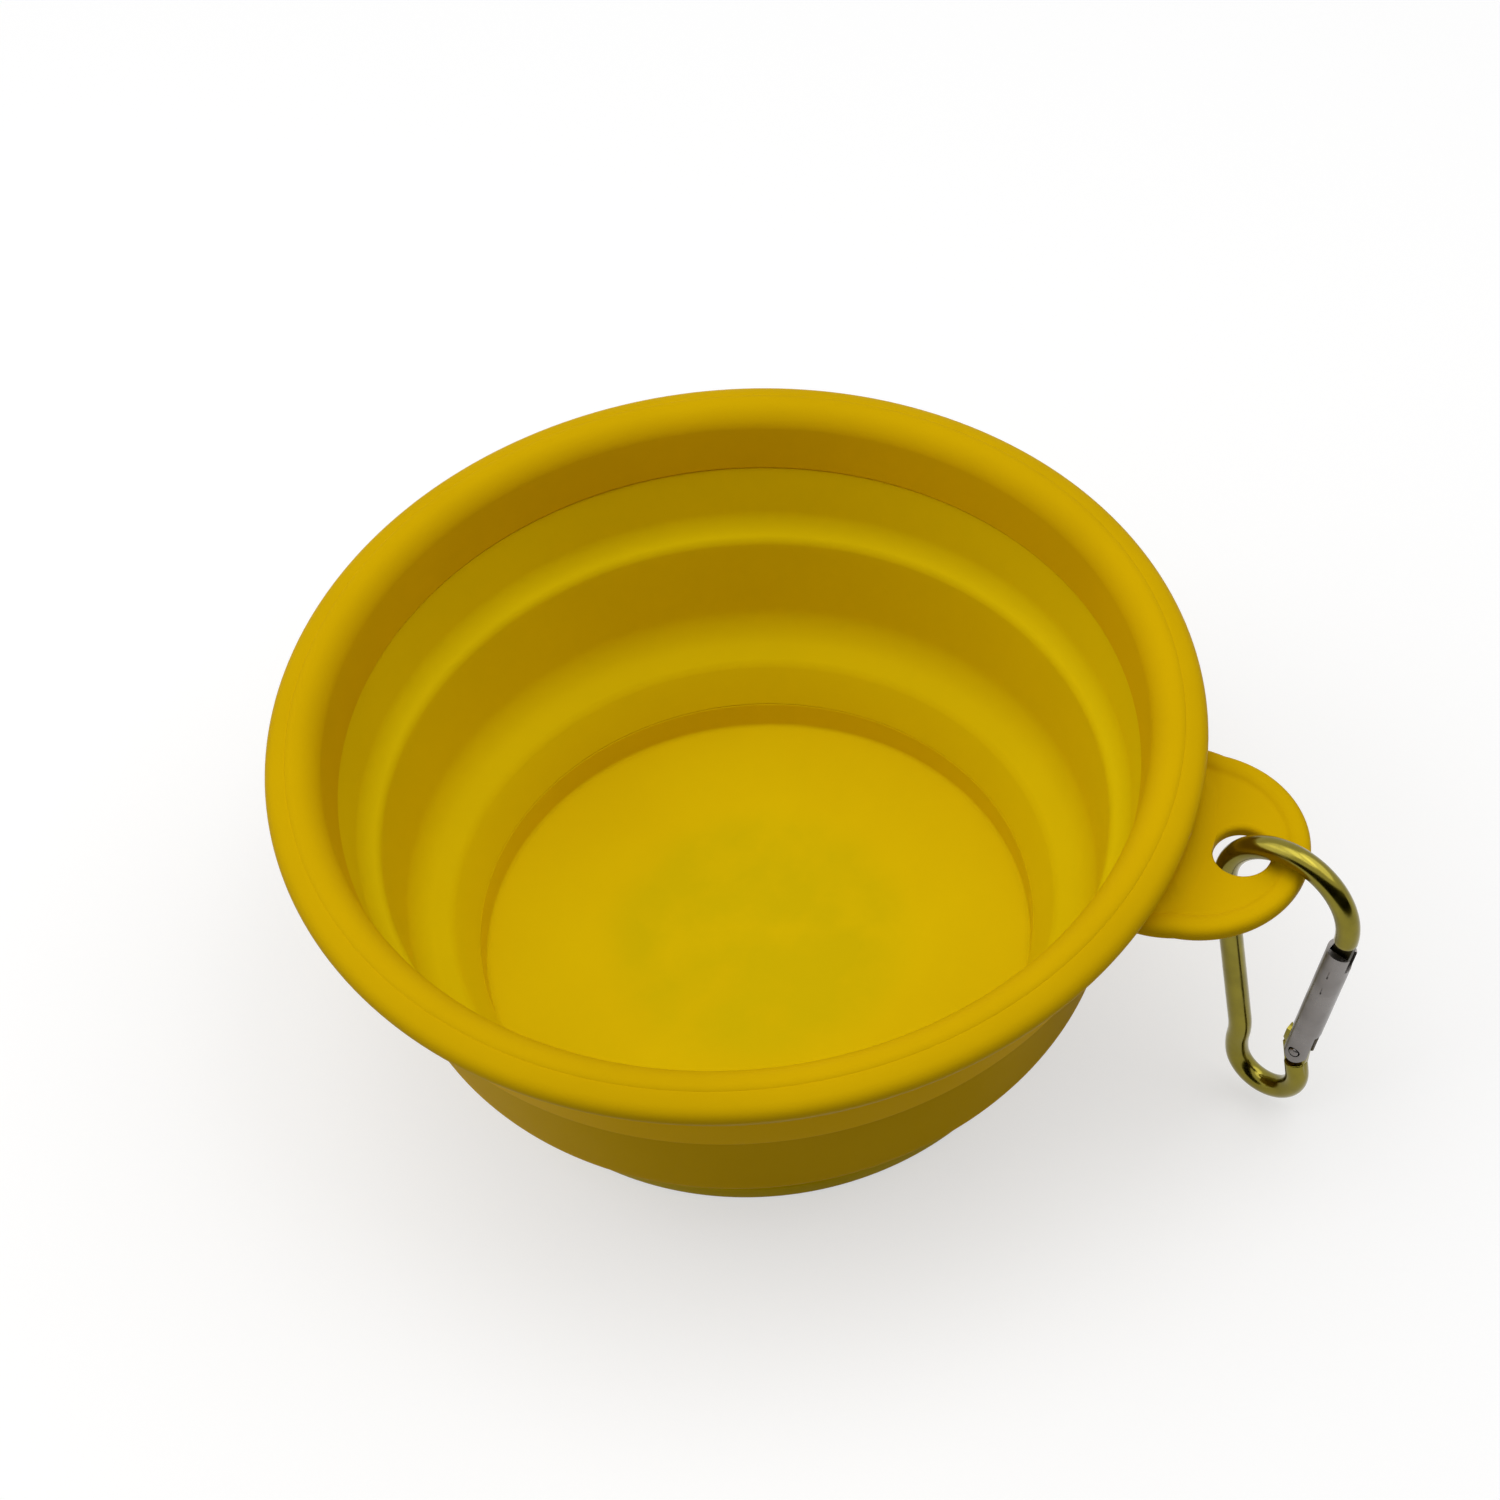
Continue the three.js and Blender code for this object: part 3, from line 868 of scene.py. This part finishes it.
# Satin moulded yellow; the soft wall and the hard mouldings differ in tone, grain and gloss
yellowFinish = {
    "rimYellow": {
        "Tone": (0.635, 0.392, 0.001, 1), "Other_tone": (0.59, 0.362, 0.001, 1),
        "Scale": 28, "Smooth": 0.38, "Rough": 0.48, "grain": 1100, "depth": 0.00003, "gloss": 0.015},
    "wallYellow": {
        "Tone": (0.70, 0.51, 0.001, 1), "Other_tone": (0.66, 0.475, 0.001, 1),
        "Scale": 22, "Smooth": 0.46, "Rough": 0.58, "grain": 1500, "depth": 0.00002, "gloss": 0.08},
    # Lit copy of the wall's yellow: a painted lit band on the outside above the upper step
    "wallLitBandYellow": {
        "Tone": (0.80, 0.48, 0.001, 1), "Other_tone": (0.76, 0.45, 0.001, 1),
        "Scale": 22, "Smooth": 0.46, "Rough": 0.58, "grain": 1500, "depth": 0.00002, "gloss": 0.02},
    # Shaded copy of the wall's yellow: painted shade on the outside below the upper step
    "wallShadedOutsideYellow": {
        "Tone": (0.66, 0.40, 0.001, 1), "Other_tone": (0.615, 0.37, 0.001, 1),
        "Scale": 22, "Smooth": 0.46, "Rough": 0.58, "grain": 1500, "depth": 0.00002, "gloss": 0.02},
    "baseYellow": {
        "Tone": (0.70, 0.50, 0.001, 1), "Other_tone": (0.66, 0.46, 0.001, 1),
        "Scale": 26, "Smooth": 0.42, "Rough": 0.54, "grain": 1300, "depth": 0.00002, "gloss": 0.12,
        "patchTone": (0.60, 0.45, 0.001, 1), "patchCore": 0.0175, "patchEdge": 0.026, "patchScale": 120,
        "patchDetail": 3, "patchLow": 0.3, "patchHigh": 0.6, "patchLeast": 0.35},
}
yellowSurface = {"waviness": 0.6, "bumpStrength": 0.25}
glossTint = (1.0, 0.76, 0.03, 1)  # the gloss keeps the moulding's own yellow


# Faint darker patch in the middle of the floor: a soft disc broken up by noise, on faces that look up
def patchMask(tree, finish):
    link = tree.links.new
    place = addNode(tree, "ShaderNodeTexCoord")
    away = addNode(tree, "ShaderNodeVectorMath", operation="LENGTH")
    disc = addNode(tree, "ShaderNodeMapRange", interpolation_type="SMOOTHSTEP")
    disc.inputs["From Min"].default_value = finish["patchEdge"]
    disc.inputs["From Max"].default_value = finish["patchCore"]
    cloud = addNode(tree, "ShaderNodeTexNoise")
    cloud.inputs["Scale"].default_value = finish["patchScale"]
    cloud.inputs["Detail"].default_value = finish["patchDetail"]
    broken = addNode(tree, "ShaderNodeMapRange")
    broken.inputs["From Min"].default_value = finish["patchLow"]
    broken.inputs["From Max"].default_value = finish["patchHigh"]
    broken.inputs["To Min"].default_value = finish["patchLeast"]
    shape = addNode(tree, "ShaderNodeNewGeometry")
    parts = addNode(tree, "ShaderNodeSeparateXYZ")
    upward = addNode(tree, "ShaderNodeMath", operation="MULTIPLY", use_clamp=True)
    mask = addNode(tree, "ShaderNodeMath", operation="MULTIPLY")
    link(place.outputs["Object"], away.inputs[0])
    link(away.outputs["Value"], disc.inputs["Value"])
    link(place.outputs["Object"], cloud.inputs["Vector"])
    link(cloud.outputs["Fac"], broken.inputs["Value"])
    link(shape.outputs["Normal"], parts.inputs[0])
    link(parts.outputs["Z"], upward.inputs[0])
    link(disc.outputs["Result"], upward.inputs[1])
    link(upward.outputs[0], mask.inputs[0])
    link(broken.outputs["Result"], mask.inputs[1])
    return mask.outputs[0]


def yellowMaterial(name, finish):
    material, tree, shader, colour = startFinish(name, finish, **yellowSurface)
    if "patchTone" in finish:
        link = tree.links.new
        darkPatch = addNode(tree, "ShaderNodeMix", data_type="RGBA")
        darkPatch.inputs["B"].default_value = finish["patchTone"]
        link(patchMask(tree, finish), darkPatch.inputs["Factor"])
        link(colour, darkPatch.inputs["A"])
        link(darkPatch.outputs["Result"], shader.inputs["Base Color"])
    shader.inputs["Specular IOR Level"].default_value = finish["gloss"]
    shader.inputs["Specular Tint"].default_value = glossTint
    return material


metalFinish = {
    "goldAnodised": {
        "Tone": (0.225, 0.187, 0.018, 1), "Other_tone": (0.19, 0.157, 0.014, 1),
        "Scale": 300, "Smooth": 0.16, "Rough": 0.24, "grain": 2500, "depth": 0.00001, "coat": 0.25},
    # Near-black gold: painted shade on the nose end and tongue, where the gap lies in shadow
    "shadedNoseEnd": {
        "Tone": (0.035, 0.028, 0.006, 1), "Other_tone": (0.02, 0.016, 0.004, 1),
        "Scale": 900, "Smooth": 0.4, "Rough": 0.55, "grain": 3000, "depth": 0.00002, "coat": 0},
    "bareAluminium": {
        "Tone": (0.235, 0.22, 0.21, 1), "Other_tone": (0.20, 0.185, 0.175, 1),
        "Scale": 260, "Smooth": 0.24, "Rough": 0.36, "grain": 3000, "depth": 0.00001, "coat": 0.1},
    "gateSteel": {
        "Tone": (0.30, 0.285, 0.27, 1), "Other_tone": (0.25, 0.235, 0.22, 1),
        "Scale": 400, "Smooth": 0.28, "Rough": 0.42, "grain": 4000, "depth": 0.00001, "coat": 0},
}
metalSurface = {"waviness": 0.3, "bumpStrength": 0.15}
coatRoughness = 0.08


def metalMaterial(name, finish):
    material, _, shader, _ = startFinish(name, finish, **metalSurface)
    shader.inputs["Metallic"].default_value = 1
    shader.inputs["Coat Weight"].default_value = finish["coat"]
    shader.inputs["Coat Roughness"].default_value = coatRoughness
    return material


yellow = {name: yellowMaterial(name, finish) for name, finish in yellowFinish.items()}
metal = {name: metalMaterial(name, finish) for name, finish in metalFinish.items()}
print("materials made")


# Which body each piece moves with, the solids it stands for and its finish

def dress(piece, body, slot, material, *nodes):
    if not piece.data.materials:
        piece.data.materials.append(None)
    piece.data.materials[0] = material
    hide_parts(*nodes)
    if body:
        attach(piece, body)


# The outside of the wall is painted a little darker and more orange than its inside as painted shade, and
# lighter above its upper step as a painted lit band
def paintOutsideShade(piece, above, below, sizes):
    step = sizes["outsideStep"] * mm

    def looksOut(face):
        away = face.calc_center_median() * Vector((1, 1, 0))
        return face.normal.z < sizes["underside"] or face.normal.dot(away) > sizes["outward"] * mm

    edit(piece)
    for material, isHere in ((below, lambda z: z < step), (above, lambda z: z > step)):
        piece.data.materials.append(material)
        pickFaces(lambda f: looksOut(f) and isHere(f.calc_center_median().z))
        piece.active_material_index = len(piece.data.materials) - 1
        bpy.ops.object.material_slot_assign()
    done()


dress(rimRing, "rim", "rim_plastic", yellow["rimYellow"], "rim_ring")
dress(softWall, None, "soft_wall", yellow["wallYellow"], "upper_wall", "middle_wall", "lower_wall")
# the outside of the wall gets painted shade below its upper step and a painted lit band above it
paintOutsideShade(softWall, yellow["wallLitBandYellow"], yellow["wallShadedOutsideYellow"], wallSizes)
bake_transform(softWall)
dress(baseTray, "base", "base_plastic", yellow["baseYellow"], "base_tray")
dress(carabinerRod, "carabiner", "gold_aluminium", metal["goldAnodised"], "carabiner_body")
# the nose end and tongue get the painted shade
carabinerRod.data.materials[1] = metal["shadedNoseEnd"]
dress(carabinerGate, "gate", "bare_aluminium", metal["bareAluminium"], "carabiner_gate")
dress(gateRivet, "carabiner", "bare_aluminium", metal["bareAluminium"], "gate_rivet")
dress(gatePlunger, "plunger", "steel", metal["gateSteel"], "gate_plunger")
dress(gateSpring, "gate", "steel", metal["gateSteel"], "gate_spring")
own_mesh(gateSpring)
print("pieces ride on their bodies")


# Stage: pale floor, white surround, soft lamps

stageSizes = {
    "roomLight": 0.215,
    "floor": 6.0,
    "floorDrop": 0.0002,
    "floorColour": (0.45, 0.45, 0.45, 1),
    "floorRough": 0.9,
    "floorGloss": 0.1,
    "floorLift": 0.58,
    "card": (2.4, 0.62),
    "cardAway": 0.6,
    "cardAzimuth": -60,
    "cardHeight": 17,
    "cardColour": (0.012, 0.010, 0.008, 1),
}


def makeFloor(sizes):
    bpy.ops.object.select_all(action="DESELECT")
    bpy.ops.mesh.primitive_plane_add(size=sizes["floor"], location=(0, 0, -sizes["floorDrop"]))
    floor = bpy.context.object
    floor.name = "paleFloor"
    bpy.ops.object.transform_apply(location=True, rotation=True, scale=True)
    material, tree, shader = startMaterial("paleFloorPaint")
    shader.inputs["Base Color"].default_value = sizes["floorColour"]
    shader.inputs["Roughness"].default_value = sizes["floorRough"]
    shader.inputs["Specular IOR Level"].default_value = sizes["floorGloss"]
    glow = addNode(tree, "ShaderNodeEmission")  # seen by the camera and in gloss only
    path = addNode(tree, "ShaderNodeLightPath")
    seen = addNode(tree, "ShaderNodeMath", operation="MAXIMUM")
    strength = addNode(tree, "ShaderNodeMath", operation="MULTIPLY")
    strength.inputs[1].default_value = sizes["floorLift"]
    both = addNode(tree, "ShaderNodeAddShader")
    link = tree.links.new
    link(path.outputs["Is Camera Ray"], seen.inputs[0])
    link(path.outputs["Is Glossy Ray"], seen.inputs[1])
    link(seen.outputs[0], strength.inputs[0])
    link(strength.outputs[0], glow.inputs["Strength"])
    link(shader.outputs["BSDF"], both.inputs[0])
    link(glow.outputs["Emission"], both.inputs[1])
    link(both.outputs["Shader"], tree.nodes["Material Output"].inputs["Surface"])
    floor.data.materials.append(material)


# Dark card in front, below the camera, seen in gloss only
def makeCard(sizes):
    turn, lift = radians(sizes["cardAzimuth"]), radians(sizes["cardHeight"])
    place = Vector((cos(turn) * cos(lift), sin(turn) * cos(lift), sin(lift))) * sizes["cardAway"]
    bpy.ops.object.select_all(action="DESELECT")
    bpy.ops.mesh.primitive_plane_add(size=1, location=place)
    card = bpy.context.object
    card.name = "darkCard"
    card.rotation_mode = "QUATERNION"
    card.rotation_quaternion = place.to_track_quat("Z", "Y")
    card.scale = (*sizes["card"], 1)
    bpy.ops.object.transform_apply(location=True, rotation=True, scale=True)
    card.visible_camera = card.visible_diffuse = card.visible_shadow = card.visible_transmission = False
    material, _, shader = startMaterial("darkCardPaint")
    shader.inputs["Base Color"].default_value = sizes["cardColour"]
    shader.inputs["Specular IOR Level"].default_value = 0
    card.data.materials.append(material)


def lightWorld(level):
    world = bpy.data.worlds.new("softRoom")
    bpy.context.scene.world = world
    world.use_nodes = True
    tree = world.node_tree
    tree.nodes.clear()
    link = tree.links.new
    room = addNode(tree, "ShaderNodeBackground")
    room.inputs["Color"].default_value = (1, 1, 1, 1)
    room.inputs["Strength"].default_value = level
    white = addNode(tree, "ShaderNodeBackground")
    white.inputs["Color"].default_value = (1, 1, 1, 1)
    white.inputs["Strength"].default_value = 1
    path = addNode(tree, "ShaderNodeLightPath")
    first = addNode(tree, "ShaderNodeMath", operation="MAXIMUM")
    second = addNode(tree, "ShaderNodeMath", operation="MAXIMUM")
    mix = addNode(tree, "ShaderNodeMixShader")
    put = addNode(tree, "ShaderNodeOutputWorld")
    link(path.outputs["Is Camera Ray"], first.inputs[0])
    link(path.outputs["Is Glossy Ray"], first.inputs[1])
    link(first.outputs[0], second.inputs[0])
    link(path.outputs["Is Transmission Ray"], second.inputs[1])
    link(second.outputs[0], mix.inputs["Fac"])
    link(room.outputs["Background"], mix.inputs[1])
    link(white.outputs["Background"], mix.inputs[2])
    link(mix.outputs["Shader"], put.inputs["Surface"])


lamps = {
    "topLamp": {"place": (0, 0, 0.95), "size": 0.8, "power": 2.3},
    "leftLamp": {"place": (-0.375, -0.01, 0.79), "size": 0.8, "power": 1.9},
    "lowLeftLamp": {"place": (-0.62, -0.26, 0.50), "size": 0.8, "power": 1.55},
    "rightLamp": {"place": (0.40, 0.22, 0.75), "size": 0.8, "power": 2.35},
}
lampAim = (0, 0, 0.03)


def addLamp(name, lamp):
    bpy.ops.object.select_all(action="DESELECT")
    place = Vector(lamp["place"])
    bpy.ops.object.light_add(type="AREA", location=place)
    obj = bpy.context.object
    obj.name = name
    obj.rotation_mode = "QUATERNION"
    obj.rotation_quaternion = (Vector(lampAim) - place).to_track_quat("-Z", "Y")
    obj.data.shape = "DISK"
    obj.data.size = lamp["size"]
    obj.data.energy = lamp["power"]


makeFloor(stageSizes)
makeCard(stageSizes)
lightWorld(stageSizes["roomLight"])
for lampName, lamp in lamps.items():
    addLamp(lampName, lamp)
bpy.context.scene.view_settings.view_transform = "Standard"
print("stage lit")
